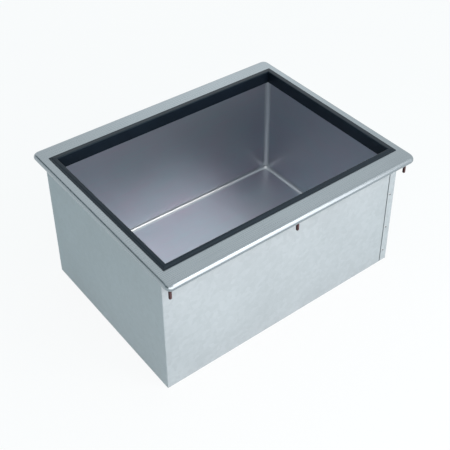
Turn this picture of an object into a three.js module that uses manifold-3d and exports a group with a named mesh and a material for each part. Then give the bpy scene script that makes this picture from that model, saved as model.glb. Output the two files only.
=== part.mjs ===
// Drop-in ice bin: a stainless bowl in a galvanised, foam-filled shell, hung in a counter by its flange.
// Millimetres, +X to the right along the front, +Y to the rear, +Z up.
// The origin is the centre of the underside, on which the bin stands when it isn't fitted.
import * as THREE from "three";
import { mergeVertices } from "three/addons/utils/BufferGeometryUtils.js";
import Module from "manifold-3d";

const wasm = await Module();
wasm.setup();

// Driving dimensions: the mouth between the breaker strips, and the bowl's depth below the flange's top
const mouthLength = 555;
const mouthDepth = 389;
const bowlDepth = 279.2;

// Insulation: at the two ends, at the front and rear, and under the bowl
const endFoam = 14.2;
const frontFoam = 8.4;
const floorFoam = 23.4;

// Sheets
const flangeSheet = 1.2;
const linerSheet = 1;
const wrapSheet = 0.8;
const panSheet = 0.8;

// Clearances: beside a sheet or a turned piece, round the foam, and between two mitred ends
const fitGap = 0.3;
const foamGap = 0.3;
const mitreGap = 0.15;

// Top flange: the channel that it leaves along the shell, its rolled rim and its inner leg.
// The rim is rolled over into a half round and ends in a narrow flat return, on which the flange rests.
const frontChannel = 28.4;
const endChannel = 0.5;
const rimRadius = 8.5;
const rimReturn = 1.5;
const flangeCornerRadius = 13;
const legHeight = 20;
const legBend = 2.2;
const legCornerRadius = 0.5;

// Breaker strips, moulded in one section: the face towards the bowl, a raised land with a rounded nose,
// a low land that laps over the flange, and a hidden leg that makes the slot for the bowl's edge
const breakerWall = 2.5;
const breakerDrop = 27;
const breakerRise = 2.4;
const breakerNose = 1.2;
const breakerLandWidth = 7.6;
const breakerStepRun = 0.5;
const breakerEdgeRise = 1.1;
const breakerLap = 5;
const snapLegWall = 2;
const snapLegDrop = 12;
const slotTop = 1;

// Bowl: its upright corners, the cove along its floor, and the corner notches behind the strips
const bowlCornerRadius = 10;
const bowlCoveRadius = 8;
const notchRun = 14;

// Sump in the bowl's floor: a ledge for the strainer, and below it the seat of the drain
const ledgeRadius = 45;
const ledgeDepth = 1.5;
const sumpRadius = 38;
const sumpDepth = 7;
const sumpRim = 2;

// Galvanised wraps: two like angles, each folded once round a corner and once more into a riveted lap
const wrapBend = 2;
const lapWidth = 19;
const lapFoot = 2.5;

// Seam rivets: heights as shares of the wraps' height, and the distance from the lap's free edge
const rivetHeightShares = [0.105, 0.33, 0.632, 0.885];
const rivetInset = 6;
const rivetHeadRadius = 3.2;
const rivetHeadRise = 0.9;
const rivetShankRadius = 1.6;
const rivetBulbRadius = 2.6;
const rivetBulbLength = 2.4;

// Bottom pan with its turned-up rim and the square hole through which the drain's nut is reached
const panRim = 15;
const panBend = 1.5;
const panCornerRadius = 2;
const panHoleHalf = 32;
const foamCornerRadius = 1.5;
const foamHoleGap = 1;

// Drain fitting
const drainFlangeRadius = 31;
const drainFlangeThickness = 2;
const drainTailRadius = 16.7;
const drainBoreRadius = 13;
const drainBoreFlare = 2;
const drainTailSpare = 2;
const gasketRadius = 29;
const gasketThickness = 1.2;
const washerRadius = 26;
const washerThickness = 1.5;
const nutAcrossFlats = 44;
const nutThickness = 8;

// Strainer plate: rings of holes about its middle
const strainerThickness = 1.2;
const strainerGap = 0.6;
const strainerHoleRadius = 3;
const strainerRingStep = 11;
const strainerRings = 3;
const strainerRingHoles = 6;

// Weld studs under the flange: insets from the free edge of its return, and the rear row's spread as a share
const studRadius = 3.175;
const studLength = 44;
const studTip = 0.8;
const studFrontInset = 6.3;
const studEndInset = 3.8;
const rearStudShare = 0.778;

// How far a cutting tool runs past the face that it cuts
const overrun = 2;

// Facets
const cornerSteps = 6;
const bendSteps = 3;
const rimSteps = 10;
const turnedSides = 32;
const smallSides = 12;
const holeSides = 10;

// Half sizes along X and Y of each layer, from the mouth outwards
const mouth = [mouthLength / 2, mouthDepth / 2];
const grow = (half, amount) => half.map((value) => value + amount);
const bowlInner = grow(mouth, breakerWall + fitGap);
const bowlOuter = grow(bowlInner, linerSheet);
const snapLegOuter = grow(bowlOuter, fitGap + snapLegWall);
const flangeLegInner = grow(snapLegOuter, fitGap);
const flangeLegOuter = grow(flangeLegInner, flangeSheet);
const breakerWidth = flangeLegOuter[0] + breakerLap - mouth[0];
const foamInner = grow(bowlOuter, foamGap);
const foamOuter = [foamInner[0] + endFoam, foamInner[1] + frontFoam];
const panInner = grow(foamOuter, foamGap);
const panOuter = grow(panInner, panSheet);
const wrapInner = grow(panOuter, fitGap);
const wrapOuter = grow(wrapInner, wrapSheet);
const flangeReturnEnd = [wrapOuter[0] + endChannel, wrapOuter[1] + frontChannel];
const flangeOuter = grow(flangeReturnEnd, rimReturn + rimRadius);

// Heights
const foamBottom = panSheet + foamGap;
const floorUnderside = foamBottom + floorFoam + foamGap;
const floorTop = floorUnderside + linerSheet;
const flangeTop = floorTop + bowlDepth;
const flangeUnderside = flangeTop - flangeSheet;
const bowlRim = flangeTop - slotTop - fitGap;
const foamTop = flangeTop - Math.max(breakerDrop, legHeight) - fitGap - foamGap;
const ledgeTop = floorTop - ledgeDepth;
const sumpTop = floorTop - sumpDepth;
const sumpUnderside = sumpTop - linerSheet;
const drainFlangeBottom = sumpTop + gasketThickness;
const drainFlangeTop = drainFlangeBottom + drainFlangeThickness;
const washerBottom = sumpUnderside - washerThickness;
const nutBottom = washerBottom - nutThickness;
const drainTailEnd = nutBottom - drainTailSpare;
const rivetHeights = rivetHeightShares.map((share) => share * flangeUnderside);

const quarterTurn = Math.PI / 2;

function finish(name, color, roughness, metalness) {
  return new THREE.MeshStandardMaterial({ name, color, roughness, metalness });
}

const finishes = {
  stainless: finish("brushed_stainless", 0x9aa7ac, 0.34, 1),
  bowlStainless: finish("bowl_stainless", 0x6c7078, 0.38, 1),
  galvanised: finish("galvanised_sheet", 0xb9c1c8, 0.48, 0.85),
  breaker: finish("black_abs", 0x1a222d, 0.42, 0),
  foam: finish("rigid_foam", 0xd9cf9f, 0.95, 0),
  brass: finish("nickel_plated_brass", 0xb7b0a2, 0.3, 1),
  rubber: finish("black_rubber", 0x222222, 0.85, 0),
  fibre: finish("fibre_washer", 0x8c3b2a, 0.8, 0),
  copper: finish("copper_flashed_steel", 0x8a5a50, 0.42, 0.9),
  aluminium: finish("rivet_aluminium", 0xb4b9bd, 0.4, 1),
};

// Shapes

// Welds a geometry's vertices, drops the triangles that closed up, and makes a solid that faces out.
function solidFrom(geometry) {
  const bare = geometry.clone();
  bare.deleteAttribute("normal");
  bare.deleteAttribute("uv");
  const welded = mergeVertices(bare);
  const corners = Array.from(welded.index.array);
  const kept = [];
  for (let i = 0; i < corners.length; i += 3) {
    const [a, b, c] = corners.slice(i, i + 3);
    if (a !== b && b !== c && c !== a) kept.push(a, b, c);
  }
  const vertProperties = new Float32Array(welded.attributes.position.array);
  const build = (triVerts) => new wasm.Manifold(new wasm.Mesh({ numProp: 3, vertProperties, triVerts }));
  const made = build(new Uint32Array(kept));
  if (made.volume() > 0) return made;
  return build(new Uint32Array(kept.reverse()));
}

function geometryFrom(points, triangles) {
  const geometry = new THREE.BufferGeometry();
  geometry.setAttribute("position", new THREE.Float32BufferAttribute(points.flat(), 3));
  geometry.setIndex(triangles);
  return geometry;
}

function roundedLoop(half, radius, z) {
  const signs = [[1, 1], [-1, 1], [-1, -1], [1, -1]];
  const loop = [];
  signs.forEach(([signX, signY], corner) => {
    for (let step = 0; step <= cornerSteps; step++) {
      const angle = (corner + step / cornerSteps) * quarterTurn;
      const x = signX * (half[0] - radius) + radius * Math.cos(angle);
      const y = signY * (half[1] - radius) + radius * Math.sin(angle);
      loop.push([x, y, z]);
    }
  });
  return loop;
}

// Joins loops of equally many points. An open row of loops is closed by a flat face at each end,
// and a closed row comes back to its first loop, as the section of a frame does.
function loft(loops, closed) {
  const count = loops[0].length;
  const points = loops.flat();
  const triangles = [];
  const rows = closed ? loops.length : loops.length - 1;
  for (let row = 0; row < rows; row++) {
    const next = (row + 1) % loops.length;
    for (let i = 0; i < count; i++) {
      const j = (i + 1) % count;
      const [a, b] = [row * count + i, row * count + j];
      const [c, d] = [next * count + j, next * count + i];
      triangles.push(a, b, c, a, c, d);
    }
  }
  if (!closed) {
    const last = (loops.length - 1) * count;
    for (let i = 1; i < count - 1; i++) {
      triangles.push(0, i + 1, i);
      triangles.push(last, last + i, last + i + 1);
    }
  }
  return solidFrom(geometryFrom(points, triangles));
}

// The steps of a quarter bend, from its start at share 0 to its end at share 1
function bendShares() {
  return Array.from({ length: bendSteps + 1 }, (_, step) => {
    const angle = (step / bendSteps) * quarterTurn;
    return [Math.sin(angle), Math.cos(angle)];
  });
}

// The steps of a half-round rim, from its underside to its top: the reach outwards and the rise
function rimShares() {
  return Array.from({ length: rimSteps + 1 }, (_, step) => {
    const angle = (2 * step / rimSteps - 1) * quarterTurn;
    return [Math.cos(angle), Math.sin(angle)];
  });
}

function turned(profile, sides = turnedSides) {
  const points = profile.map(([radius, height]) => new THREE.Vector2(radius, height));
  return new THREE.LatheGeometry(points, sides);
}

function turnedUpright(profile, sides = turnedSides) {
  return solidFrom(turned(profile, sides).rotateX(quarterTurn));
}

function ringUpright(innerRadius, outerRadius, bottom, top) {
  const profile = [
    [innerRadius, bottom],
    [outerRadius, bottom],
    [outerRadius, top],
    [innerRadius, top],
    [innerRadius, bottom],
  ];
  return turnedUpright(profile);
}

function discUpright(radius, bottom, top) {
  return turnedUpright([[0, bottom], [radius, bottom], [radius, top], [0, top]]);
}

function boxBetween(low, high) {
  const size = high.map((value, axis) => value - low[axis]);
  const middle = high.map((value, axis) => (value + low[axis]) / 2);
  return solidFrom(new THREE.BoxGeometry(...size).translate(...middle));
}

// A round bar along Y, for the holes and pockets of the seam rivets
function barAlongY(radius, x, z, from, to) {
  const bar = new THREE.CylinderGeometry(radius, radius, Math.abs(to - from), smallSides);
  return solidFrom(bar.translate(x, (from + to) / 2, z));
}

function extruded(shape, bottom, top, segments = smallSides) {
  const options = { depth: top - bottom, bevelEnabled: false, curveSegments: segments };
  return solidFrom(new THREE.ExtrudeGeometry(shape, options).translate(0, 0, bottom));
}

const bin = new THREE.Group();

function addPiece(name, solid, material, place = {}) {
  const shape = solid.getMesh();
  const geometry = new THREE.BufferGeometry();
  geometry.setAttribute("position", new THREE.BufferAttribute(new Float32Array(shape.vertProperties), 3));
  geometry.setIndex(new THREE.BufferAttribute(new Uint32Array(shape.triVerts), 1));
  geometry.computeVertexNormals();
  const mesh = new THREE.Mesh(geometry, material);
  mesh.name = name;
  mesh.position.set(...(place.at ?? [0, 0, 0]));
  mesh.rotation.z = place.turn ?? 0;
  bin.add(mesh);
}

// Top flange: one formed frame, with a rolled rim outside and a leg turned down at the opening
function topFlange() {
  const outerLoop = (inset, z) => roundedLoop(grow(flangeOuter, -inset), flangeCornerRadius - inset, z);
  const legLoop = (offset, z) => roundedLoop(grow(flangeLegInner, offset), legCornerRadius + offset, z);
  const rimMiddle = flangeTop - rimRadius;
  const rimInside = rimRadius - flangeSheet;
  const legBendInside = legBend - flangeSheet;
  const legBottom = flangeTop - legHeight;
  const overTheRim = rimShares().map(([reach, rise]) =>
    outerLoop(rimRadius - rimRadius * reach, rimMiddle + rimRadius * rise));
  const intoTheOpening = bendShares().map(([rise, run]) =>
    legLoop(legBend - legBend * rise, flangeTop - legBend + legBend * run));
  const backUnderTheBend = bendShares().map(([rise, run]) =>
    legLoop(legBend - legBendInside * run, flangeTop - legBend + legBendInside * rise));
  const backInsideTheRim = rimShares().reverse().map(([reach, rise]) =>
    outerLoop(rimRadius - rimInside * reach, rimMiddle + rimInside * rise));
  return loft([
    outerLoop(rimRadius + rimReturn, rimMiddle - rimRadius),
    ...overTheRim,
    ...intoTheOpening,
    legLoop(0, legBottom),
    legLoop(flangeSheet, legBottom),
    ...backUnderTheBend,
    ...backInsideTheRim,
    outerLoop(rimRadius + rimReturn, rimMiddle - rimInside),
  ], true);
}

// Breaker strip: its section as distances outward from the mouth and heights from the flange's top
function breakerSection() {
  const snapLegOuterReach = snapLegOuter[0] - mouth[0];
  const snapLegInnerReach = snapLegOuterReach - snapLegWall;
  const nose = bendShares().map(([rise, run]) =>
    [breakerNose - breakerNose * run, breakerRise - breakerNose + breakerNose * rise]);
  return [
    [0, -breakerDrop],
    ...nose,
    [breakerLandWidth, breakerRise],
    [breakerLandWidth + breakerStepRun, breakerEdgeRise],
    [breakerWidth, breakerEdgeRise],
    [breakerWidth, 0],
    [snapLegOuterReach, 0],
    [snapLegOuterReach, -snapLegDrop],
    [snapLegInnerReach, -snapLegDrop],
    [snapLegInnerReach, -slotTop],
    [breakerWall, -slotTop],
    [breakerWall, -breakerDrop],
  ];
}

// A strip for the front of a mouth that runs halfRun to each side, its ends cut at 45 degrees
function breakerStrip(halfRun, halfAcross) {
  const section = breakerSection();
  const endLoop = (side) => section.map(([reach, height]) =>
    [side * (halfRun + reach - mitreGap), -halfAcross - reach, flangeTop + height]);
  const count = section.length;
  const points = [...endLoop(-1), ...endLoop(1)];
  const triangles = [];
  for (let i = 0; i < count; i++) {
    const j = (i + 1) % count;
    triangles.push(i, j, count + j, i, count + j, count + i);
  }
  const outline = section.map(([reach, height]) => new THREE.Vector2(reach, height));
  for (const [a, b, c] of THREE.ShapeUtils.triangulateShape(outline, [])) {
    triangles.push(a, b, c, count + a, count + c, count + b);
  }
  return solidFrom(geometryFrom(points, triangles));
}

// A pan with walls of one sheet: outside half sizes, outside corner radius, and the bend along its floor
function openPan(outer, sheet, cornerRadius, bend, bottom, top) {
  const wallLoop = (inset, z) => roundedLoop(grow(outer, -inset), cornerRadius - inset, z);
  const outside = bendShares().map(([rise, run]) =>
    wallLoop(bend - bend * rise, bottom + bend - bend * run));
  const insideBend = bend - sheet;
  const inside = bendShares().map(([rise, run]) =>
    wallLoop(bend - insideBend * run, bottom + bend - insideBend * rise));
  return loft([...outside, wallLoop(0, top), wallLoop(sheet, top), ...inside], false);
}

// Bowl: a deep pan with a turned sump in its floor, and corner notches that clear the strips' mitred ends
function bowl() {
  const outsideRadius = bowlCornerRadius + linerSheet;
  const outsideCove = bowlCoveRadius + linerSheet;
  const pan = openPan(bowlOuter, linerSheet, outsideRadius, outsideCove, floorUnderside, bowlRim);
  const cut = discUpright(ledgeRadius + linerSheet, floorUnderside - overrun, floorTop + overrun);
  const ledgeUnderside = ledgeTop - linerSheet;
  const ringRadius = ledgeRadius + sumpRim;
  const drainHoleRadius = drainTailRadius + fitGap;
  const sump = turnedUpright([
    [drainHoleRadius, sumpTop],
    [sumpRadius, sumpTop],
    [sumpRadius, ledgeTop],
    [ledgeRadius, ledgeTop],
    [ledgeRadius, floorTop],
    [ringRadius, floorTop],
    [ringRadius, ledgeUnderside],
    [sumpRadius + linerSheet, ledgeUnderside],
    [sumpRadius + linerSheet, sumpUnderside],
    [drainHoleRadius, sumpUnderside],
    [drainHoleRadius, sumpTop],
  ]);
  let made = pan.subtract(cut).add(sump);
  const notchBottom = flangeTop - breakerDrop - fitGap;
  for (const [signX, signY] of [[1, 1], [-1, 1], [-1, -1], [1, -1]]) {
    const corner = [signX * (bowlOuter[0] + overrun), signY * (bowlOuter[1] + overrun)];
    const inner = [signX * (bowlOuter[0] - notchRun), signY * (bowlOuter[1] - notchRun)];
    const low = [Math.min(corner[0], inner[0]), Math.min(corner[1], inner[1]), notchBottom];
    const high = [Math.max(corner[0], inner[0]), Math.max(corner[1], inner[1]), bowlRim + overrun];
    made = made.subtract(boxBetween(low, high));
  }
  return made;
}

// Wrap: seen from above, the front wall, the left wall and the lap round the rear-left corner
function wrap() {
  const [x, y] = wrapOuter;
  const lapOuterY = y + wrapSheet;
  const wallEnd = x - wrapBend - fitGap;
  const insideBend = wrapBend - wrapSheet;
  const lapEnd = lapWidth - x;
  const shape = new THREE.Shape();
  shape.moveTo(wallEnd, -y);
  shape.lineTo(wallEnd, wrapSheet - y);
  shape.absarc(wrapBend - x, wrapBend - y, insideBend, -quarterTurn, -2 * quarterTurn, true);
  shape.absarc(wrapBend - x, lapOuterY - wrapBend, insideBend, 2 * quarterTurn, quarterTurn, true);
  shape.lineTo(lapEnd, y);
  shape.lineTo(lapEnd, lapOuterY);
  shape.absarc(wrapBend - x, lapOuterY - wrapBend, wrapBend, quarterTurn, 2 * quarterTurn, false);
  shape.absarc(wrapBend - x, wrapBend - y, wrapBend, 2 * quarterTurn, 3 * quarterTurn, false);
  let made = extruded(shape, 0, flangeUnderside, bendSteps);
  const foot = boxBetween(
    [wrapBend - x, y - overrun / 2, -overrun],
    [lapEnd + overrun, lapOuterY + overrun, lapFoot],
  );
  made = made.subtract(foot);
  const holeRadius = rivetShankRadius + fitGap;
  for (const height of rivetHeights) {
    made = made.subtract(barAlongY(holeRadius, rivetX, height, -y - overrun, overrun - y));
    made = made.subtract(barAlongY(holeRadius, -rivetX, height, y - overrun, lapOuterY + overrun));
  }
  return made;
}

const rivetX = wrapOuter[0] - lapWidth + rivetInset;
const lapOuterY = wrapOuter[1] + wrapSheet;

// Blind rivet, set from the outside: a low dome, the shank through both sheets, and the bulb behind them
function seamRivet() {
  const grip = 2 * wrapSheet;
  const dome = bendShares().map(([rise, run]) => [rivetHeadRadius * rise, -rivetHeadRise * run]);
  const profile = [
    ...dome,
    [rivetShankRadius, 0],
    [rivetShankRadius, grip],
    [rivetBulbRadius, grip],
    [rivetBulbRadius, grip + rivetBulbLength / 2],
    [rivetShankRadius, grip + rivetBulbLength],
    [0, grip + rivetBulbLength],
  ];
  return solidFrom(turned(profile, holeSides));
}

function bottomPan() {
  const half = panHoleHalf;
  const hole = boxBetween([-half, -half, -overrun], [half, half, panBend + overrun]);
  return openPan(panOuter, panSheet, panCornerRadius, panBend, 0, panRim).subtract(hole);
}

// Foam: a thick-walled tub that fills the space between the pan, the wraps and the bowl
function foam() {
  const innerRadius = bowlCornerRadius + linerSheet + foamGap;
  const innerCove = bowlCoveRadius + linerSheet + foamGap;
  const cavityFloor = floorUnderside - foamGap;
  const block = loft([
    roundedLoop(foamOuter, foamCornerRadius, foamBottom),
    roundedLoop(foamOuter, foamCornerRadius, foamTop),
  ], false);
  const coves = bendShares().map(([rise, run]) => {
    const inset = innerCove - innerCove * rise;
    const height = cavityFloor + innerCove - innerCove * run;
    return roundedLoop(grow(foamInner, -inset), innerRadius - inset, height);
  });
  const cavity = loft([...coves, roundedLoop(foamInner, innerRadius, foamTop + overrun)], false);
  const holeRadius = ledgeRadius + sumpRim + foamHoleGap;
  let made = block.subtract(cavity).subtract(discUpright(holeRadius, -overrun, cavityFloor + overrun));
  const pocketRadius = rivetBulbRadius + fitGap;
  const pocketEnd = wrapInner[1] - rivetBulbLength - fitGap;
  for (const height of rivetHeights) {
    made = made.subtract(barAlongY(pocketRadius, rivetX, height, -pocketEnd, -wrapOuter[1]));
    made = made.subtract(barAlongY(pocketRadius, -rivetX, height, pocketEnd, wrapOuter[1]));
  }
  return made;
}

// Drain body: a flange that seats on the gasket, a bore that flares at its mouth, and a threaded tail
function drainBody() {
  return turnedUpright([
    [drainBoreRadius, drainTailEnd],
    [drainTailRadius, drainTailEnd],
    [drainTailRadius, drainFlangeBottom],
    [drainFlangeRadius, drainFlangeBottom],
    [drainFlangeRadius, drainFlangeTop],
    [drainBoreRadius + drainBoreFlare, drainFlangeTop],
    [drainBoreRadius, drainFlangeTop - drainBoreFlare],
    [drainBoreRadius, drainTailEnd],
  ]);
}

function locknut() {
  const shape = new THREE.Shape();
  const cornerRadius = nutAcrossFlats / Math.sqrt(3);
  for (let corner = 0; corner < 6; corner++) {
    const angle = (corner / 6) * 4 * quarterTurn;
    const point = [cornerRadius * Math.cos(angle), cornerRadius * Math.sin(angle)];
    if (corner === 0) shape.moveTo(...point);
    else shape.lineTo(...point);
  }
  const bore = new THREE.Path();
  bore.absarc(0, 0, drainTailRadius + fitGap, 0, 4 * quarterTurn, false);
  shape.holes.push(bore);
  return extruded(shape, nutBottom, washerBottom, turnedSides / 2);
}

function strainer() {
  const shape = new THREE.Shape();
  shape.absarc(0, 0, ledgeRadius - strainerGap, 0, 4 * quarterTurn, false);
  const addHole = (x, y) => {
    const hole = new THREE.Path();
    hole.absarc(x, y, strainerHoleRadius, 0, 4 * quarterTurn, true);
    shape.holes.push(hole);
  };
  addHole(0, 0);
  for (let ring = 1; ring <= strainerRings; ring++) {
    const count = ring * strainerRingHoles;
    for (let k = 0; k < count; k++) {
      const angle = (k / count) * 4 * quarterTurn;
      addHole(ring * strainerRingStep * Math.cos(angle), ring * strainerRingStep * Math.sin(angle));
    }
  }
  return extruded(shape, ledgeTop, ledgeTop + strainerThickness, holeSides);
}

function weldStud() {
  return turnedUpright([
    [0, -studLength],
    [studRadius - studTip, -studLength],
    [studRadius, studTip - studLength],
    [studRadius, 0],
    [0, 0],
  ], smallSides);
}

// Assembly

addPiece("top_flange", topFlange(), finishes.stainless);

const alongX = breakerStrip(mouth[0], mouth[1]);
const alongY = breakerStrip(mouth[1], mouth[0]);
addPiece("breaker_strip_front", alongX, finishes.breaker);
addPiece("breaker_strip_rear", alongX, finishes.breaker, { turn: 2 * quarterTurn });
addPiece("breaker_strip_left", alongY, finishes.breaker, { turn: -quarterTurn });
addPiece("breaker_strip_right", alongY, finishes.breaker, { turn: quarterTurn });

addPiece("bowl_liner", bowl(), finishes.bowlStainless);
addPiece("foam_insulation", foam(), finishes.foam);
addPiece("wrap_front_left", wrap(), finishes.galvanised);
addPiece("wrap_rear_right", wrap(), finishes.galvanised, { turn: 2 * quarterTurn });
addPiece("bottom_pan", bottomPan(), finishes.galvanised);

rivetHeights.forEach((height, index) => {
  const number = index + 1;
  addPiece(`front_seam_rivet_${number}`, seamRivet(), finishes.aluminium, {
    at: [rivetX, -lapOuterY, height],
  });
  addPiece(`rear_seam_rivet_${number}`, seamRivet(), finishes.aluminium, {
    at: [-rivetX, lapOuterY, height],
    turn: 2 * quarterTurn,
  });
});

const studX = flangeReturnEnd[0] - studEndInset;
const studY = flangeReturnEnd[1] - studFrontInset;
const rearStudX = flangeOuter[0] * rearStudShare;
const studPlaces = {
  front_stud_left: [-studX, -studY],
  front_stud_middle: [0, -studY],
  front_stud_right: [studX, -studY],
  rear_stud_left: [-rearStudX, studY],
  rear_stud_middle: [0, studY],
  rear_stud_right: [rearStudX, studY],
};
for (const [name, place] of Object.entries(studPlaces)) {
  addPiece(name, weldStud(), finishes.copper, { at: [...place, flangeUnderside] });
}

const drainHole = drainTailRadius + fitGap;
addPiece("drain_body", drainBody(), finishes.brass);
addPiece("drain_gasket", ringUpright(drainHole, gasketRadius, sumpTop, drainFlangeBottom), finishes.rubber);
addPiece("drain_washer", ringUpright(drainHole, washerRadius, washerBottom, sumpUnderside), finishes.fibre);
addPiece("drain_locknut", locknut(), finishes.brass);
addPiece("drain_strainer", strainer(), finishes.stainless);

export default bin;
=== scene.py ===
import math

import bmesh
import bpy
from mathutils import Matrix, Vector


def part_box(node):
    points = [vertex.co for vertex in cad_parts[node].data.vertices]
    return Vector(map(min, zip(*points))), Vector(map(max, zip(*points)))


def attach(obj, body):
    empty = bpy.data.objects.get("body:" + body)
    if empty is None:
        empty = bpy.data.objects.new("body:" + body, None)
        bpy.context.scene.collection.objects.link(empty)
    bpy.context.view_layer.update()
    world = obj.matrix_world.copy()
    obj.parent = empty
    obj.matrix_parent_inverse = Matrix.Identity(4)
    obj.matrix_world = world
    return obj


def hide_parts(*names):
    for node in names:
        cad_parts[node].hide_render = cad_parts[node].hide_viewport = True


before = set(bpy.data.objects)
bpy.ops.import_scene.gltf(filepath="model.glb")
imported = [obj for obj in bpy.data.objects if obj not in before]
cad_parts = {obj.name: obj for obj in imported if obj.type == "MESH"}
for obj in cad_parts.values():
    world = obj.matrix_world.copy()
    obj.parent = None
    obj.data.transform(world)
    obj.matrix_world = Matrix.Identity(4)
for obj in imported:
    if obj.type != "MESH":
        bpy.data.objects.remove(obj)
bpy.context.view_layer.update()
bpy.ops.object.select_all(action="DESELECT")

MM = 0.001
FULL_TURN = math.tau
QUARTER_TURN = math.tau / 4
IMAGE_WIDTH = 450
SENSOR_WIDTH = 36

EPSILON = 0.02 * MM
SAME_POINT = 0.002 * MM


# Camera, where the photographer's stood

def set_up_camera():
    azimuth, elevation, roll = (math.radians(angle) for angle in (-39.676, 35.896, 1.1025))
    back = Vector((math.sin(azimuth) * math.cos(elevation),
                   -math.cos(azimuth) * math.cos(elevation),
                   math.sin(elevation)))
    level_right = Vector((math.cos(azimuth), math.sin(azimuth), 0))
    level_up = back.cross(level_right)
    right = level_right * math.cos(roll) + level_up * math.sin(roll)
    up = level_up * math.cos(roll) - level_right * math.sin(roll)
    focal_pixels, centre_right, centre_up = 890.935, 33.776, 79.774
    data = bpy.data.cameras.new("photo_camera")
    data.sensor_width = SENSOR_WIDTH
    data.lens = focal_pixels / IMAGE_WIDTH * SENSOR_WIDTH
    data.shift_x = -centre_right / IMAGE_WIDTH
    data.shift_y = -centre_up / IMAGE_WIDTH
    camera = bpy.data.objects.new("photo_camera", data)
    bpy.context.scene.collection.objects.link(camera)
    flange_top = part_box("top_flange")[1].z
    from_middle_x, from_middle_y, above_flange = -0.88423, -1.17623, 1.08874
    place = Vector((from_middle_x, from_middle_y, flange_top + above_flange))
    camera.matrix_world = Matrix.Translation(place) @ Matrix((right, up, back)).transposed().to_4x4()
    bpy.context.scene.camera = camera


set_up_camera()


# Materials

def linear(code):
    """The linear colour of an sRGB hex code, with full alpha."""
    parts = [int(code[i:i + 2], 16) / 255 for i in (1, 3, 5)]
    return tuple(p / 12.92 if p <= 0.04045 else ((p + 0.055) / 1.055) ** 2.4 for p in parts) + (1,)


def node(tree, kind, inputs=None, stops=(), **settings):
    """Adds one node and gives its outputs. An input that is a socket is linked, and any other is set.

    The stops of a colour ramp are places and hex codes.
    """
    made = tree.nodes.new("ShaderNode" + kind)
    for name, value in settings.items():
        setattr(made, name, value)
    for name, value in (inputs or {}).items():
        if isinstance(value, bpy.types.NodeSocket):
            tree.links.new(value, made.inputs[name])
        else:
            made.inputs[name].default_value = value
    while stops and len(made.color_ramp.elements) < len(stops):
        made.color_ramp.elements.new(1)
    for (place, code), element in zip(stops, made.color_ramp.elements if stops else ()):
        element.position = place
        element.color = linear(code)
    return made.outputs


def new_material(name):
    material = bpy.data.materials.new(name)
    material.use_nodes = True
    material.node_tree.nodes.clear()
    return material, material.node_tree


def satin_stainless(name, dark, light, roughness, spread):
    # Sheet stainless sanded to a satin finish: a grey metal whose fine belt scratches run along the sheet
    # and spread every highlight a little. The scratches are drawn about 1.2 mm apart, coarser than real
    # ones, so that they show close up.
    material, tree = new_material(name)
    place = node(tree, "TexCoord")["Object"]
    length, pitch = 80 * MM, 1.2 * MM
    flat_place = node(tree, "Mapping", {"Vector": place, "Scale": (1 / length, 1 / pitch, 1 / pitch)})[0]
    flat = node(tree, "TexNoise", {"Vector": flat_place, "Scale": 1.0, "Detail": 3.0})["Fac"]
    side_place = node(tree, "Mapping", {"Vector": place, "Scale": (1 / pitch, 1 / length, 1 / pitch)})[0]
    side = node(tree, "TexNoise", {"Vector": side_place, "Scale": 1.0, "Detail": 3.0})["Fac"]
    normal = node(tree, "SeparateXYZ", {"Vector": node(tree, "NewGeometry")["Normal"]})
    sideways = node(tree, "Math", {0: normal["X"]}, operation="ABSOLUTE")[0]
    on_side = node(tree, "Math", {0: sideways, 1: 0.7}, operation="GREATER_THAN")[0]
    grain = node(tree, "Mix", {"Factor": on_side, 2: flat, 3: side}, data_type="FLOAT")[0]
    cloud = node(tree, "TexNoise", {"Vector": place, "Scale": 1 / (90 * MM), "Detail": 3.0})["Fac"]
    mixed = node(tree, "Mix", {"Factor": 0.5, 2: grain, 3: cloud}, data_type="FLOAT")[0]
    base = node(tree, "ValToRGB", {"Fac": mixed}, ((0.35, dark), (0.65, light)))["Color"]
    rough = node(tree, "MapRange", {"Value": grain, "From Min": 0.3, "From Max": 0.7,
                                    "To Min": roughness - spread, "To Max": roughness + spread})[0]
    raised = node(tree, "Bump", {"Height": grain, "Strength": 0.015, "Distance": 0.05 * MM})[0]
    shader = node(tree, "BsdfPrincipled", {
        "Base Color": base, "Metallic": 1.0, "Roughness": rough, "Normal": raised})[0]
    node(tree, "OutputMaterial", {"Surface": shader})
    return material


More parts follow.
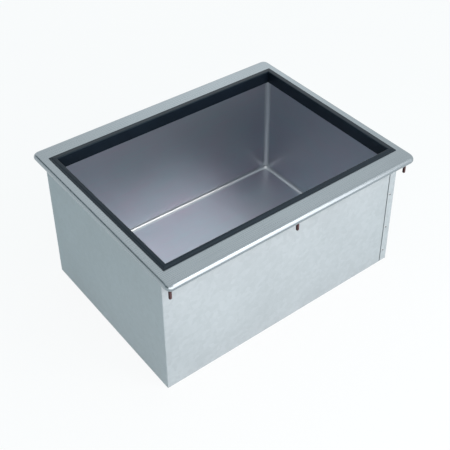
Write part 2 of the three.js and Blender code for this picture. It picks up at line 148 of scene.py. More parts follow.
def galvanised_sheet():
    # Hot-dip galvanised steel sheet: a dull zinc coat frozen in crystals about 9 mm wide, each with its
    # own slight tint and gloss, under a faint cloudy bloom.
    material, tree = new_material("hot_dip_galvanised_sheet")
    place = node(tree, "TexCoord")["Object"]
    bent = node(tree, "TexNoise", {"Vector": place, "Scale": 1 / (14 * MM), "Detail": 2.0})["Color"]
    push = 6 * MM
    pushed = node(tree, "VectorMath", {0: bent, 1: (push, push, push)}, operation="MULTIPLY")[0]
    moved = node(tree, "VectorMath", {0: place, 1: pushed}, operation="ADD")[0]
    crystal = node(tree, "TexVoronoi", {"Vector": moved, "Scale": 1 / (9 * MM)})["Color"]
    tint = node(tree, "SeparateColor", {"Color": crystal})["Red"]
    cloud = node(tree, "TexNoise", {"Vector": place, "Scale": 1 / (120 * MM), "Detail": 4.0})["Fac"]
    fine = node(tree, "TexNoise", {"Vector": place, "Scale": 1 / (1.5 * MM), "Detail": 2.0})["Fac"]
    spangle = node(tree, "Mix", {"Factor": 0.6, 2: tint, 3: cloud}, data_type="FLOAT")[0]
    both = node(tree, "Mix", {"Factor": 0.25, 2: spangle, 3: fine}, data_type="FLOAT")[0]
    zinc = node(tree, "ValToRGB", {"Fac": both},
                ((0.2, "#A1A4A7"), (0.5, "#A9ACAF"), (0.8, "#B1B4B7")))["Color"]
    # Painted shade along each seam, where the lap ends: a dark line about 2 mm wide that stands in for the
    # shadow under the lap's edge.
    seam_from_middle, seam_shade_half = 278.4 * MM, 1.3 * MM
    spot = node(tree, "SeparateXYZ", {"Vector": place})
    side = node(tree, "Math", {0: spot["Y"]}, operation="SIGN")[0]
    run = node(tree, "Math", {0: spot["X"], 1: side}, operation="MULTIPLY")[0]
    gap = node(tree, "Math", {0: run, 1: seam_from_middle}, operation="ADD")[0]
    off = node(tree, "Math", {0: gap}, operation="ABSOLUTE")[0]
    painted_seam_shade = node(tree, "MapRange", {"Value": off, "From Min": seam_shade_half / 2, "From Max": seam_shade_half,
                                    "To Min": 0.75, "To Max": 0.0})[0]
    # The painted seam shade darkens the zinc here.
    base = node(tree, "Mix", {"Factor": painted_seam_shade, 6: zinc, 7: linear("#3A4244")}, data_type="RGBA")[2]
    rough = node(tree, "MapRange", {"Value": tint, "To Min": 0.46, "To Max": 0.56})[0]
    raised = node(tree, "Bump", {"Height": fine, "Strength": 0.08, "Distance": 0.1 * MM})[0]
    shader = node(tree, "BsdfPrincipled", {
        "Base Color": base, "Metallic": 0.15, "Roughness": rough, "Normal": raised})[0]
    node(tree, "OutputMaterial", {"Surface": shader})
    return material


def extruded_abs():
    # Black ABS, extruded: a blue-black plastic with a fine die grain that keeps its gloss low and soft.
    material, tree = new_material("extruded_black_abs")
    place = node(tree, "TexCoord")["Object"]
    fine = node(tree, "TexNoise", {"Vector": place, "Scale": 1 / (0.8 * MM), "Detail": 2.0})["Fac"]
    cloud = node(tree, "TexNoise", {"Vector": place, "Scale": 1 / (60 * MM), "Detail": 3.0})["Fac"]
    base = node(tree, "ValToRGB", {"Fac": cloud}, ((0.3, "#0D141E"), (0.7, "#121A25")))["Color"]
    rough = node(tree, "MapRange", {"Value": fine, "From Min": 0.3, "From Max": 0.7,
                                    "To Min": 0.36, "To Max": 0.46})[0]
    raised = node(tree, "Bump", {"Height": fine, "Strength": 0.15, "Distance": 0.05 * MM})[0]
    shader = node(tree, "BsdfPrincipled", {
        "Base Color": base, "Roughness": rough, "IOR": 1.54, "Specular IOR Level": 0.29,
        "Specular Tint": linear("#D0F2FF"), "Normal": raised})[0]
    node(tree, "OutputMaterial", {"Surface": shader})
    return material


def small_part(name, dark, light, roughness, grit, metallic=1.0, bump=0.1, depth=0.05 * MM):
    """A part's own finish: two close colours, a roughness and a relief that follow grit of one size."""
    material, tree = new_material(name)
    place = node(tree, "TexCoord")["Object"]
    speck = node(tree, "TexNoise", {"Vector": place, "Scale": 1 / grit, "Detail": 3.0})["Fac"]
    base = node(tree, "ValToRGB", {"Fac": speck}, ((0.3, dark), (0.7, light)))["Color"]
    rough = node(tree, "MapRange", {"Value": speck, "From Min": 0.3, "From Max": 0.7,
                                    "To Min": roughness - 0.05, "To Max": roughness + 0.05})[0]
    raised = node(tree, "Bump", {"Height": speck, "Strength": bump, "Distance": depth})[0]
    shader = node(tree, "BsdfPrincipled", {
        "Base Color": base, "Metallic": metallic, "Roughness": rough, "Normal": raised})[0]
    node(tree, "OutputMaterial", {"Surface": shader})
    return material


stainless = satin_stainless("satin_stainless_sheet", "#949FA5", "#9AA5AB", 0.28, 0.04)
bowl_stainless = satin_stainless("satin_stainless_bowl", "#BFBCC7", "#B6C4CB", 0.40, 0.02)
# The bowl's rounded seams, buffed after welding: smoother than the satin sheet beside them, with a lighter
# colour painted on as a highlight.
bend_highlight_stainless = satin_stainless("stainless_bend_painted_highlight", "#CCD2D5", "#D0D6D9", 0.35, 0.02)
galvanised = galvanised_sheet()
black_abs = extruded_abs()
# Copper-flashed steel: a thin reddish wash over the welding stud, browned by handling.
copper_flash = small_part("copper_flashed_steel", "#4C3E3F", "#695253", 0.42, 2 * MM)
# Aluminium of a blind rivet, drawn and left dull.
rivet_aluminium = small_part("drawn_aluminium", "#AEB4B8", "#BFC4C7", 0.38, 1.5 * MM)
# Steel of the rivet's broken mandrel, painted near black and spread over the aluminium of the recess round
# it as painted shade.
mandrel_and_recess_shade = small_part("mandrel_steel_and_painted_recess_shade", "#1C1E20", "#282A2C", 0.6, 0.6 * MM, 0.6)
# Nickel plate over turned brass: a warm grey metal with a fair gloss.
nickel_plate = small_part("nickel_plated_brass", "#A8A293", "#BDB7A8", 0.26, 4 * MM)
# Moulded rubber of the gasket: black with a dusty bloom.
rubber = small_part("moulded_black_rubber", "#1B1B1C", "#262627", 0.75, 1.5 * MM, 0.0, 0.2, 0.1 * MM)
# Vulcanised fibre, pressed from paper: red-brown and slightly mottled.
fibre = small_part("vulcanised_fibre", "#6E2A1E", "#8A3A29", 0.7, 2 * MM, 0.0, 0.2, 0.1 * MM)
# Polyurethane foam poured in place: pale yellow, with an open cut skin of small cells.
foam_skin = small_part("poured_polyurethane_foam", "#C9BC86", "#E3D9AC", 0.92, 1.6 * MM, 0.0, 0.6, 0.5 * MM)


# Making pieces

def make_active(obj):
    bpy.ops.object.select_all(action="DESELECT")
    obj.select_set(True)
    bpy.context.view_layer.objects.active = obj


def edit(obj, mode="EDGE"):
    make_active(obj)
    bpy.ops.object.mode_set(mode="EDIT")
    bpy.ops.mesh.select_mode(type=mode)
    bpy.ops.mesh.select_all(action="DESELECT")


def leave_edit():
    bpy.ops.object.mode_set(mode="OBJECT")


def pick(obj, kind, test):
    """Selects the vertices, edges or faces that pass the test, and nothing else. Returns how many."""
    bpy.ops.mesh.select_mode(type={"verts": "VERT", "edges": "EDGE", "faces": "FACE"}[kind])
    bpy.ops.mesh.select_all(action="DESELECT")
    mesh = bmesh.from_edit_mesh(obj.data)
    chosen = [item for item in getattr(mesh, kind) if test(item)]
    for item in chosen:
        item.select_set(True)
    bmesh.update_edit_mesh(obj.data)
    return len(chosen)


def near(value, target, tolerance=EPSILON):
    return abs(value - target) < tolerance


def both_ends(edge, test):
    return all(test(vert.co) for vert in edge.verts)


def upright(edge):
    return near(edge.verts[0].co.x, edge.verts[1].co.x) and near(edge.verts[0].co.y, edge.verts[1].co.y)


def extrude(move):
    bpy.ops.mesh.extrude_region_move(TRANSFORM_OT_translate={"value": tuple(move)})


def shift_selected(move):
    bpy.ops.transform.translate(value=tuple(move))


def round_edges(radius, steps):
    bpy.ops.mesh.bevel(offset=radius, segments=steps, profile=0.5, affect="EDGES", clamp_overlap=False)


def named_active(name):
    obj = bpy.context.active_object
    obj.name = name
    obj.data.name = name
    return obj


def settle(obj):
    """Puts the object's place, turn and size into its mesh."""
    make_active(obj)
    bpy.ops.object.transform_apply(location=True, rotation=True, scale=True)
    return obj


def block(name, low, high):
    low, high = Vector(low), Vector(high)
    bpy.ops.mesh.primitive_cube_add(size=1, location=(low + high) / 2)
    obj = named_active(name)
    obj.scale = high - low
    return settle(obj)


def rectangle(name, half_x, half_y, height):
    bpy.ops.mesh.primitive_plane_add(size=1, location=(0, 0, height))
    obj = named_active(name)
    obj.scale = (2 * half_x, 2 * half_y, 1)
    return settle(obj)


def join(target, *others):
    make_active(target)
    for other in others:
        other.select_set(True)
    bpy.ops.object.join()
    return target


def modify(obj, kind, **settings):
    make_active(obj)
    bpy.ops.object.modifier_add(type=kind)
    modifier = obj.modifiers[-1]
    for name, value in settings.items():
        setattr(modifier, name, value)
    bpy.ops.object.modifier_apply(modifier=modifier.name)
    return obj


def cut(obj, cutter, operation="DIFFERENCE"):
    modify(obj, "BOOLEAN", object=cutter, operation=operation, solver="EXACT")
    bpy.data.objects.remove(cutter)
    return obj


def thicken(obj, thickness, offset):
    return modify(obj, "SOLIDIFY", thickness=thickness, offset=offset, use_even_offset=True,
                  use_quality_normals=True)


def break_edges(obj, width, steps=2, angle=40):
    return modify(obj, "BEVEL", width=width, segments=steps, limit_method="ANGLE",
                  angle_limit=math.radians(angle), use_clamp_overlap=True)


def smooth(obj, angle=32):
    make_active(obj)
    bpy.ops.object.shade_smooth_by_angle(angle=math.radians(angle))
    return modify(obj, "WEIGHTED_NORMAL", keep_sharp=True)


def face_all(obj, test):
    """Turns an open sheet over if the face that the test finds points the wrong way."""
    edit(obj, "FACE")
    bpy.ops.mesh.select_all(action="SELECT")
    bpy.ops.mesh.normals_make_consistent(inside=False)
    leave_edit()
    if not test(obj.data):
        edit(obj, "FACE")
        bpy.ops.mesh.select_all(action="SELECT")
        bpy.ops.mesh.flip_normals()
        leave_edit()
    return obj


def widest(mesh):
    return max(mesh.polygons, key=lambda face: face.area)


def turned(name, profile, steps=48):
    """Spins a profile of radii and heights round the upright axis, as on a lathe."""
    bpy.ops.mesh.primitive_plane_add(size=MM)
    obj = named_active(name)
    edit(obj, "VERT")
    bpy.ops.mesh.select_all(action="SELECT")
    bpy.ops.mesh.merge(type="CENTER")
    bpy.ops.mesh.select_all(action="SELECT")
    previous = Vector((0, 0, 0))
    for index, (radius, height) in enumerate(profile):
        point = Vector((radius, 0, height))
        if index == 0:
            shift_selected(point - previous)
        else:
            extrude(point - previous)
        previous = point
    bpy.ops.mesh.select_all(action="SELECT")
    bpy.ops.mesh.spin(steps=steps, angle=FULL_TURN, center=(0, 0, 0), axis=(0, 0, 1))
    bpy.ops.mesh.select_all(action="SELECT")
    bpy.ops.mesh.remove_doubles(threshold=SAME_POINT)
    bpy.ops.mesh.normals_make_consistent(inside=False)
    leave_edit()
    return obj


def disc(name, radius, low, high, sides=64):
    bpy.ops.mesh.primitive_cylinder_add(vertices=sides, radius=radius, depth=high - low,
                                        location=(0, 0, (low + high) / 2))
    return settle(named_active(name))


def copied(obj, name, move=(0, 0, 0), turn=(0, 0, 0)):
    made = obj.copy()
    made.data = obj.data.copy()
    made.name = name
    made.data.name = name
    bpy.context.scene.collection.objects.link(made)
    made.rotation_euler = turn
    made.location = move
    return settle(made)


def dress(obj, node_name, slot_name, *materials, body="bin"):
    obj.data.materials.clear()
    for material in materials:
        obj.data.materials.append(material)
    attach(obj, body)
    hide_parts(node_name)
    return obj


# Top flange: formed from one sheet, with a half-round rim rolled under all round

flange_low, flange_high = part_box("top_flange")
flange_top = flange_high.z
flange_sheet = 1.2 * MM
rim_radius = 8.5 * MM
rim_return = 1.5 * MM
leg_bend = 2.2 * MM
flange_corner = 13 * MM
return_corner = flange_corner - rim_radius - rim_return
leg_corner = 1.6 * MM
corner_steps = 12
rolled_edge = 0.15 * MM
strip_front_low, strip_front_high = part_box("breaker_strip_front")
strip_left_low, strip_left_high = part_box("breaker_strip_left")
strip_lap = 5 * MM
opening_x = -strip_left_low.x - strip_lap - flange_sheet
opening_y = -strip_front_low.y - strip_lap - flange_sheet


def rounded_rectangle(name, half_x, half_y, height, radius):
    obj = rectangle(name, half_x, half_y, height)
    edit(obj, "VERT")
    bpy.ops.mesh.select_all(action="SELECT")
    bpy.ops.mesh.bevel(offset=radius, segments=corner_steps, profile=0.5, affect="VERTICES")
    leave_edit()
    return obj


def make_flange():
    outside = rounded_rectangle("flange_skin", flange_high.x, flange_high.y, flange_top, flange_corner)
    opening = rounded_rectangle("opening", opening_x, opening_y, flange_top, leg_corner)
    obj = join(outside, opening)
    edit(obj, "FACE")
    bpy.ops.mesh.select_all(action="SELECT")
    bpy.ops.mesh.delete(type="ONLY_FACE")
    bpy.ops.mesh.select_mode(type="EDGE")
    bpy.ops.mesh.select_all(action="SELECT")
    bpy.ops.mesh.bridge_edge_loops()
    reach_x, reach_y = flange_high.x - flange_corner, flange_high.y - flange_corner
    rim_bottom = flange_top - 2 * rim_radius

    def on_rim(point):
        return abs(point.x) > reach_x - EPSILON or abs(point.y) > reach_y - EPSILON

    def at_top(point):
        return near(point.z, flange_top)

    def at_bottom(point):
        return near(point.z, rim_bottom)

    def beside_wall(edge):
        return any(near(face.normal.z, 0, 0.1) for face in edge.link_faces)

    pick(obj, "edges", lambda edge: edge.is_boundary and both_ends(edge, on_rim))
    extrude((0, 0, rim_bottom - flange_top))
    leave_edit()
    inward = rim_radius + rim_return
    return_end = rounded_rectangle("return_end", flange_high.x - inward, flange_high.y - inward, rim_bottom,
                                   return_corner)
    edit(return_end, "FACE")
    bpy.ops.mesh.select_all(action="SELECT")
    bpy.ops.mesh.delete(type="ONLY_FACE")
    leave_edit()
    join(obj, return_end)
    edit(obj)
    pick(obj, "edges", lambda edge: (edge.is_boundary or edge.is_wire) and both_ends(edge, at_bottom))
    bpy.ops.mesh.bridge_edge_loops()
    pick(obj, "edges", lambda edge: edge.is_boundary and both_ends(edge, at_top)
         and not both_ends(edge, on_rim))
    extrude((0, 0, flange_low.z - flange_top))
    pick(obj, "edges", lambda edge: both_ends(edge, on_rim) and beside_wall(edge)
         and (both_ends(edge, at_top) or both_ends(edge, at_bottom)))
    round_edges(rim_radius, 9)
    bpy.ops.mesh.select_all(action="SELECT")
    bpy.ops.mesh.remove_doubles(threshold=EPSILON)
    pick(obj, "edges", lambda edge: both_ends(edge, at_top) and not both_ends(edge, on_rim)
         and beside_wall(edge))
    round_edges(leg_bend, 5)
    leave_edit()
    face_all(obj, lambda mesh: widest(mesh).normal.z > 0)
    thicken(obj, flange_sheet, -1)
    break_edges(obj, rolled_edge, 2, 60)
    smooth(obj)
    return dress(obj, "top_flange", "brushed_stainless", stainless)


make_flange()


# Breaker strips: extruded plastic with a raised inner land and a lower lap over the flange

strip_wall = 2.5 * MM
strip_nose = 2.0 * MM
strip_edge = 0.25 * MM
land_width = 7.6 * MM
step_run = 0.5 * MM
edge_rise = 1.1 * MM
land_slope = math.tan(math.radians(5))
snap_leg = (4.1 * MM, 6.1 * MM)
snap_leg_drop = 12 * MM
mitre_gap = 0.15 * MM
mouth_x = -strip_left_high.x
mouth_y = -strip_front_high.y
strip_top = strip_front_high.z
strip_bottom = strip_front_low.z
strip_width = -mouth_y - strip_front_low.y


def make_strip(name, half_run, half_across):
    obj = block(name,
                (-half_run - strip_width, -half_across - strip_wall, strip_bottom),
                (half_run + strip_width, -half_across, strip_top))
    edit(obj, "FACE")
    bpy.ops.mesh.select_all(action="SELECT")
    bpy.ops.mesh.bisect(plane_co=(0, 0, flange_top), plane_no=(0, 0, 1))
    pick(obj, "faces", lambda face: near(face.normal.y, -1, 0.01)
         and face.calc_center_median().z > flange_top)
    extrude((0, strip_wall - strip_width, 0))
    for reach in (*snap_leg, land_width, land_width + step_run):
        bpy.ops.mesh.select_all(action="SELECT")
        bpy.ops.mesh.bisect(plane_co=(0, -half_across - reach, 0), plane_no=(0, 1, 0))
    step_y = -half_across - land_width - step_run
    pick(obj, "verts", lambda vert: near(vert.co.z, strip_top) and vert.co.y < step_y + EPSILON)
    shift_selected((0, 0, flange_top + edge_rise - strip_top))
    for reach in (*snap_leg, land_width):
        pick(obj, "verts", lambda vert: near(vert.co.z, strip_top)
             and near(vert.co.y, -half_across - reach))
        shift_selected((0, 0, -land_slope * (reach - strip_wall)))
    leg_y = -half_across - sum(snap_leg) / 2
    pick(obj, "faces", lambda face: near(face.normal.z, -1, 0.01)
         and near(face.calc_center_median().y, leg_y, 0.5 * MM))
    extrude((0, 0, -snap_leg_drop))
    pick(obj, "edges", lambda edge: both_ends(edge, lambda point: near(point.y, -half_across)
                                              and near(point.z, strip_top)))
    round_edges(strip_nose, 6)
    for side in (-1, 1):
        bpy.ops.mesh.select_all(action="SELECT")
        bpy.ops.mesh.bisect(plane_co=(side * (half_run - mitre_gap), -half_across, 0),
                            plane_no=(side, 1, 0), use_fill=True, clear_outer=True)
    leave_edit()
    break_edges(obj, strip_edge, 2, 35)
    return smooth(obj)


along_x = make_strip("breaker_front", mouth_x, mouth_y)
along_y = make_strip("breaker_right", mouth_y, mouth_x)
strips = {
    "breaker_strip_rear": copied(along_x, "breaker_rear", turn=(0, 0, 2 * QUARTER_TURN)),
    "breaker_strip_front": along_x,
    "breaker_strip_left": copied(along_y, "breaker_left", turn=(0, 0, -QUARTER_TURN)),
    "breaker_strip_right": along_y,
}
along_y.rotation_euler = (0, 0, QUARTER_TURN)
settle(along_y)
for node_name, strip in strips.items():
    dress(strip, node_name, "black_abs", black_abs)


# Bowl: pressed and welded satin sheet, with the drain's sump drawn into its floor

liner_low, liner_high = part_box("bowl_liner")
strainer_low, strainer_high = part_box("drain_strainer")
drain_low, drain_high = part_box("drain_body")
liner_sheet = 1.0 * MM
bowl_corner = 10 * MM
bowl_cove = 8 * MM
notch_run = 14 * MM
notch_drop = 27.3 * MM
ledge_radius = 45 * MM
ledge_depth = 1.5 * MM
sump_radius = 38 * MM
sump_floor = liner_low.z + liner_sheet
ledge_level = strainer_low.z
bowl_floor = ledge_level + ledge_depth
drain_hole = 17 * MM
bowl_x = liner_high.x - liner_sheet
bowl_y = liner_high.y - liner_sheet
circle_sides = 96


def open_floor(obj, height, radius, sides):
    """Cuts a hole in the flat floor of a pan, its corners on the radius, and leaves its edge selected."""
    bpy.ops.mesh.primitive_circle_add(vertices=sides, radius=radius, location=(0, 0, height),
                                      rotation=(0, 0, FULL_TURN / sides / 2))
    circle = settle(named_active("hole"))
    join(obj, circle)
    edit(obj, "FACE")
    pick(obj, "faces", lambda face: abs(face.normal.z) > 0.99 and near(face.calc_center_median().z, height)
         and len(face.verts) > 8)
    bpy.ops.mesh.delete(type="ONLY_FACE")
    pick(obj, "edges", lambda edge: (edge.is_boundary or edge.is_wire)
         and both_ends(edge, lambda point: near(point.z, height)))
    bpy.ops.mesh.fill(use_beauty=True)
    pick(obj, "edges", lambda edge: edge.is_boundary
         and both_ends(edge, lambda point: near(point.z, height)
                       and near(point.to_2d().length, radius, 0.5 * MM)))


def scale_loop(ratio):
    bpy.ops.transform.resize(value=(ratio, ratio, 1), center_override=(0, 0, 0))


def make_bowl():
    obj = block("bowl", (-bowl_x, -bowl_y, bowl_floor), (bowl_x, bowl_y, liner_high.z))
    edit(obj, "FACE")
    pick(obj, "faces", lambda face: face.normal.z > 0.5)
    bpy.ops.mesh.delete(type="FACE")
    pick(obj, "edges", upright)
    round_edges(bowl_corner, 12)
    pick(obj, "edges", lambda edge: both_ends(edge, lambda point: near(point.z, bowl_floor)))
    round_edges(bowl_cove, 10)
    leave_edit()
    open_floor(obj, bowl_floor, ledge_radius, circle_sides)
    extrude((0, 0, ledge_level - bowl_floor))
    extrude((0, 0, 0))
    scale_loop(sump_radius / ledge_radius)
    extrude((0, 0, sump_floor - ledge_level))
    extrude((0, 0, 0))
    scale_loop(drain_hole / sump_radius)
    rings = ((ledge_radius, bowl_floor, 0.8 * MM), (ledge_radius, ledge_level, 0.5 * MM),
             (sump_radius, ledge_level, 1.2 * MM), (sump_radius, sump_floor, 2.0 * MM))
    for radius, height, bend in rings:
        pick(obj, "edges", lambda edge: both_ends(edge, lambda point: near(point.z, height)
                                                  and near(point.to_2d().length, radius, 0.1 * MM)))
        round_edges(bend, 3)
    leave_edit()
    middle = Vector((0, 0, (bowl_floor + liner_high.z) / 2))
    face_all(obj, lambda mesh: widest(mesh).normal.dot(middle - widest(mesh).center) > 0)
    thicken(obj, liner_sheet, -1)
    for side_x in (-1, 1):
        for side_y in (-1, 1):
            corner = Vector((side_x * (liner_high.x + MM), side_y * (liner_high.y + MM), liner_high.z + MM))
            inner = Vector((side_x * (liner_high.x - notch_run), side_y * (liner_high.y - notch_run),
                            flange_top - notch_drop))
            low = Vector(map(min, corner, inner))
            high = Vector(map(max, corner, inner))
            cut(obj, block("notch", low, high))
    smooth(obj)
    dress(obj, "bowl_liner", "bowl_stainless", bowl_stainless, bend_highlight_stainless)
    # Faces on the rounded bends beside the walls take the lighter stainless, whose extra lightness is a
    # painted highlight.
    for face in obj.data.polygons:
        beside_wall = abs(face.center.x) > bowl_x - bowl_corner or abs(face.center.y) > bowl_y - bowl_corner
        on_bend = sorted(abs(part) for part in face.normal)[1] > 0.05
        face.material_index = int(beside_wall and on_bend)
    return obj


make_bowl()


# Wraps: each folded once round a corner of the shell and once more into the riveted lap

wrap_low, wrap_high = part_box("wrap_front_left")
wrap_sheet = 0.8 * MM
wrap_bend = 2 * MM
sheared_edge = 0.12 * MM
lap_width = 19 * MM
lap_foot = 2.5 * MM


def make_wrap():
    obj = block("wrap_left", wrap_low, wrap_high)
    edit(obj, "FACE")
    pick(obj, "faces", lambda face: max(face.normal.x, face.normal.y, abs(face.normal.z)) > 0.5)
    bpy.ops.mesh.delete(type="FACE")
    pick(obj, "edges", lambda edge: both_ends(edge, lambda point: near(point.x, wrap_low.x)
                                              and near(point.y, wrap_high.y)))
    extrude((lap_width, 0, 0))
    pick(obj, "edges", lambda edge: upright(edge) and near(edge.verts[0].co.x, wrap_low.x))
    round_edges(wrap_bend, 6)
    bpy.ops.mesh.select_all(action="SELECT")
    bpy.ops.mesh.bisect(plane_co=(0, 0, wrap_low.z + lap_foot), plane_no=(0, 0, 1))
    pick(obj, "faces", lambda face: near(face.calc_center_median().y, wrap_high.y)
         and face.calc_center_median().z < wrap_low.z + lap_foot)
    bpy.ops.mesh.delete(type="FACE")
    leave_edit()
    face_all(obj, lambda mesh: widest(mesh).normal.y < 0)
    thicken(obj, wrap_sheet, -1)
    break_edges(obj, sheared_edge, 1, 60)
    return smooth(obj)


front_left = make_wrap()
rear_right = copied(front_left, "wrap_right", turn=(0, 0, 2 * QUARTER_TURN))
dress(front_left, "wrap_front_left", "galvanised_sheet", galvanised)
dress(rear_right, "wrap_rear_right", "galvanised_sheet", galvanised)


# Bottom pan

pan_low, pan_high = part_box("bottom_pan")
pan_sheet = 0.8 * MM
pan_bend = 1.5 * MM
pan_corner = 2 * MM
pan_hole_half = 32 * MM


def make_pan():
    obj = block("pan", pan_low, pan_high)
    edit(obj, "FACE")
    pick(obj, "faces", lambda face: face.normal.z > 0.5)
    bpy.ops.mesh.delete(type="FACE")
    pick(obj, "edges", upright)
    round_edges(pan_corner, 5)
    pick(obj, "edges", lambda edge: both_ends(edge, lambda point: near(point.z, pan_low.z)))
    round_edges(pan_bend, 5)
    leave_edit()
    open_floor(obj, pan_low.z, pan_hole_half * math.sqrt(2), 4)
    leave_edit()
    face_all(obj, lambda mesh: widest(mesh).normal.z < 0)
    thicken(obj, pan_sheet, -1)
    break_edges(obj, sheared_edge, 1, 60)
    smooth(obj)
    return dress(obj, "bottom_pan", "galvanised_sheet", galvanised)


make_pan()


# Seam rivets: a low dome with the mandrel's end in its recess, the shank, and the bulb behind

recess_reach = 1.92 * MM
dome_height = 0.9 * MM


def make_rivet():
    grip = 2 * wrap_sheet / MM
    return turned("rivet", [(radius * MM, height * MM) for radius, height in (
        (0, 0.55), (1.4, 0.55), (1.5, 0.4), (1.85, 0.4), (1.95, 0.7), (2.1, 0.84), (2.3, 0.82), (2.6, 0.64),
        (2.9, 0.4), (3.15, 0.15), (3.2, 0.04), (3.17, 0.0), (1.6, 0.0), (1.6, -grip), (2.3, -grip),
        (2.55, -grip - 0.3), (2.6, -grip - 0.9), (2.3, -grip - 1.7),
        (1.6, -grip - 2.3), (0.9, -grip - 2.4), (0, -grip - 2.4))], 28)


rivet = smooth(make_rivet(), 45)
for row, side in (("front", 1), ("rear", -1)):
    for number in (1, 2, 3, 4):
        node_name = f"{row}_seam_rivet_{number}"
        low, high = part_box(node_name)
        seat = low.y + dome_height if side > 0 else high.y - dome_height
        place = ((low.x + high.x) / 2, seat, (low.z + high.z) / 2)
        made = copied(rivet, f"rivet_{row}_{number}", place, (side * QUARTER_TURN, 0, 0))
        dress(made, node_name, "rivet_aluminium", rivet_aluminium, mandrel_and_recess_shade)
        # Faces in the recess, the mandrel's end and the aluminium walls round it, take the near-black steel
        # as painted shade.
        for face in made.data.polygons:
            offset = face.center - Vector(place)
            proud = -side * offset.y > 0
            face.material_index = int(proud and offset.xz.length < recess_reach)
bpy.data.objects.remove(rivet)


# Weld studs: 1/4 in, 20 threads to the inch, on a low weld collar

def make_stud():
    low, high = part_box("front_stud_middle")
    length = high.z - low.z
    radius, root, pitch = 3.17 * MM, 2.55 * MM, 25.4 / 20 * MM
    collar_radius, collar_height, collar_soft = 3.9 * MM, 0.9 * MM, 0.3 * MM
    plain, tip, tip_soft = 5 * MM, 0.8 * MM, 0.1 * MM
    profile = [(0, 0), (collar_radius, 0), (collar_radius, -collar_height / 2),
               (collar_radius - collar_soft, -collar_height), (root, -collar_height), (root, -plain)]
    height = -plain
    while height > -length + tip + pitch:
        profile += [(radius, height - 0.4 * pitch), (radius, height - 0.52 * pitch),
                    (root, height - 0.9 * pitch), (root, height - pitch)]
        height -= pitch
    profile += [(radius - tip, -length + tip_soft), (radius - tip - tip_soft, -length), (0, -length)]
    return smooth(turned("stud", profile, 28), 50)


stud = make_stud()
for row in ("front", "rear"):
    for place_name in ("left", "middle", "right"):
        node_name = f"{row}_stud_{place_name}"
        low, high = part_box(node_name)
        place = ((low.x + high.x) / 2, (low.y + high.y) / 2, high.z)
        made = copied(stud, f"stud_{row}_{place_name}", place)
        dress(made, node_name, "copper_flashed_steel", copper_flash)
bpy.data.objects.remove(stud)


# Drain: turned body, gasket, washer, lock nut and the loose strainer

bore = 13 * MM
tail = 16.7 * MM
drain_flange = drain_high.x
gasket_low, gasket_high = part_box("drain_gasket")
washer_low, washer_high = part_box("drain_washer")
nut_low, nut_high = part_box("drain_locknut")


def make_drain():
    seat, top = gasket_high.z, drain_high.z
    pitch, thread_depth, lead = 1.8 * MM, 0.7 * MM, 0.6 * MM
    under_soft, top_soft, mouth_soft = 0.4 * MM, 0.5 * MM, 2.4 * MM
    profile = [(bore, drain_low.z), (tail - lead, drain_low.z), (tail, drain_low.z + lead)]
    height = drain_low.z + pitch
    while height + pitch < seat - MM:
        profile += [(tail, height), (tail - thread_depth, height + 0.45 * pitch),
                    (tail, height + 0.9 * pitch)]
        height += pitch
    profile += [(tail, seat), (drain_flange - under_soft, seat), (drain_flange, seat + under_soft),
                (drain_flange, top - top_soft), (drain_flange - top_soft, top),
                (bore + mouth_soft, top), (bore + mouth_soft / 2, top - top_soft),
                (bore, top - mouth_soft), (bore, drain_low.z)]
    obj = smooth(turned("drain", profile, 72), 40)
    return dress(obj, "drain_body", "nickel_plated_brass", nickel_plate)


def make_ring(name, node_name, slot_name, material, low, high, soft):
    inner, outer = drain_hole, high.x
    profile = [(inner, low.z), (outer - soft, low.z), (outer, low.z + soft), (outer, high.z - soft),
               (outer - soft, high.z), (inner, high.z), (inner, low.z)]
    obj = smooth(turned(name, profile, 72), 30)
    return dress(obj, node_name, slot_name, material)


def make_nut():
    across_flats = nut_high.y
    corner = across_flats / math.cos(FULL_TURN / 12)
    obj = disc("nut", corner, nut_low.z, nut_high.z, 6)
    obj.rotation_euler = (0, 0, FULL_TURN / 12)
    settle(obj)
    chamfer, nut_edge = 1.6 * MM, 0.25 * MM
    dome = turned("dome", [(0, nut_low.z - MM), (corner - 2.4 * chamfer, nut_low.z - MM),
                           (across_flats * 0.985, nut_low.z), (corner, nut_low.z + chamfer),
                           (corner + MM, nut_high.z + MM), (0, nut_high.z + MM)], 72)
    cut(obj, dome, "INTERSECT")
    cut(obj, disc("bore", drain_hole, nut_low.z - MM, nut_high.z + MM, 72))
    break_edges(obj, nut_edge, 2, 50)
    smooth(obj)
    return dress(obj, "drain_locknut", "nickel_plated_brass", nickel_plate)


def make_strainer():
    radius, low, high = strainer_high.x, strainer_low.z, strainer_high.z
    soft, punched_edge = 0.3 * MM, 0.15 * MM
    obj = turned("strainer", [(0, low), (radius - soft, low), (radius, low + soft), (radius, high - soft),
                              (radius - soft, high), (0, high)], 96)
    hole, ring_step, rings, ring_holes = 3 * MM, 11 * MM, 3, 6
    punches = [disc("punch", hole, low - MM, high + MM, 24)]
    for ring in range(1, rings + 1):
        for k in range(ring * ring_holes):
            angle = FULL_TURN * k / (ring * ring_holes)
            place = (ring * ring_step * math.cos(angle), ring * ring_step * math.sin(angle), 0)
            punches.append(copied(punches[0], "punch", place))
    cut(obj, join(*punches))
    break_edges(obj, punched_edge, 1, 50)
    smooth(obj)
    return dress(obj, "drain_strainer", "brushed_stainless", stainless, body="strainer")


make_drain()
make_ring("gasket", "drain_gasket", "black_rubber", rubber, gasket_low, gasket_high, 0.3 * MM)
make_ring("washer", "drain_washer", "fibre_washer", fibre, washer_low, washer_high, 0.15 * MM)
make_nut()
make_strainer()

foam_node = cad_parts["foam_insulation"]
foam_node.data.materials.clear()
foam_node.data.materials.append(foam_skin)


# Studio: a white floor, a low wide softbox in front, a high one that reaches into the bowl, a weak one
# behind, and two grey felt cards that the left rim mirrors

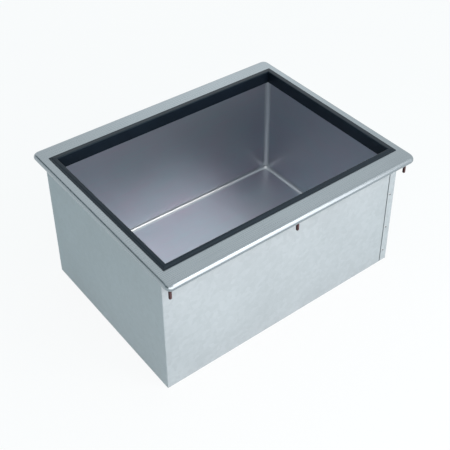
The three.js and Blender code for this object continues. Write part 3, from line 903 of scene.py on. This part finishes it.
def seen_as_backdrop(tree):
    """One where a ray shows the backdrop: straight to the camera, off a glossy face or through glass."""
    path = node(tree, "LightPath")
    seen = node(tree, "Math", {0: path["Is Camera Ray"], 1: path["Is Glossy Ray"]}, operation="MAXIMUM")[0]
    return node(tree, "Math", {0: seen, 1: path["Is Transmission Ray"]}, operation="MAXIMUM")[0]


def make_floor():
    width, clear_of_pan = 30, 0.2 * MM
    bpy.ops.mesh.primitive_plane_add(size=width, location=(0, 0, -clear_of_pan))
    floor = settle(named_active("studio_floor"))
    material, tree = new_material("white_studio_floor")
    glow_share = 0.9
    matt = node(tree, "BsdfDiffuse", {"Color": linear("#ECEEEE")})[0]
    glow = node(tree, "Emission", {"Color": linear("#FFFFFF"), "Strength": 1.0})[0]
    part = node(tree, "Math", {0: seen_as_backdrop(tree), 1: glow_share}, operation="MULTIPLY")[0]
    mixed = node(tree, "MixShader", {0: part, 1: matt, 2: glow})[0]
    node(tree, "OutputMaterial", {"Surface": mixed})
    floor.data.materials.append(material)


def grey_felt():
    # Felt of a studio card: matt and mid grey, faintly mottled by its wool.
    material, tree = new_material("grey_felt_card")
    wool = node(tree, "TexNoise", {"Vector": node(tree, "TexCoord")["Object"], "Scale": 1 / (5 * MM)})["Fac"]
    base = node(tree, "ValToRGB", {"Fac": wool}, ((0.3, "#6C7274"), (0.7, "#767C7E")))["Color"]
    node(tree, "OutputMaterial", {"Surface": node(tree, "BsdfDiffuse", {"Color": base})[0]})
    return material


def make_card(name, place, width, low, high, felt):
    """An upright grey card that faces the object."""
    bpy.ops.mesh.primitive_plane_add(size=1)
    card = named_active(name)
    card.scale = (width, high - low, 1)
    card.location = (place[0], place[1], (low + high) / 2)
    card.rotation_euler = (QUARTER_TURN, 0, math.atan2(place[1], place[0]) - QUARTER_TURN)
    settle(card)
    card.data.materials.append(felt)


def make_world():
    world = bpy.data.worlds.new("studio_air")
    bpy.context.scene.world = world
    world.use_nodes = True
    tree = world.node_tree
    tree.nodes.clear()
    soft = node(tree, "Background", {"Color": linear("#C4F4FF"), "Strength": 0.8})[0]
    white = node(tree, "Background", {"Color": linear("#FFFFFF"), "Strength": 1.0})[0]
    mixed = node(tree, "MixShader", {0: seen_as_backdrop(tree), 1: soft, 2: white})[0]
    node(tree, "OutputWorld", {"Surface": mixed})


def make_lamp(name, place, aim, size, power, colour):
    data = bpy.data.lights.new(name, "AREA")
    data.shape = "RECTANGLE"
    data.size, data.size_y = size
    data.energy = power
    data.color = linear(colour)[:3]
    lamp = bpy.data.objects.new(name, data)
    bpy.context.scene.collection.objects.link(lamp)
    lamp.location = place
    lamp.rotation_mode = "QUATERNION"
    lamp.rotation_quaternion = (Vector(place) - Vector(aim)).to_track_quat("Z", "Y")


make_floor()
felt = grey_felt()
make_card("grey_card_rear", (-2.6, 2.4), 3.4, 0.9, 2.9, felt)
make_card("grey_card_left", (-3.4, -0.5), 2.6, 0.4, 2.9, felt)
make_world()
make_lamp("softbox_front", (-0.35, -1.25, 0.52), (-0.35, 0, 0.52), (2.6, 1.0), 19.5, "#FFF4F2")
make_lamp("softbox_high", (1.1, -2.0, 2.15), (0, 0, 0.2), (1.0, 1.0), 14.8, "#FFF6F2")
make_lamp("softbox_rear", (2.4, 3.2, 2.4), (0, 0, 0.3), (1.8, 1.8), 3.6, "#FFFFFF")

bpy.context.scene.view_settings.view_transform = "Standard"
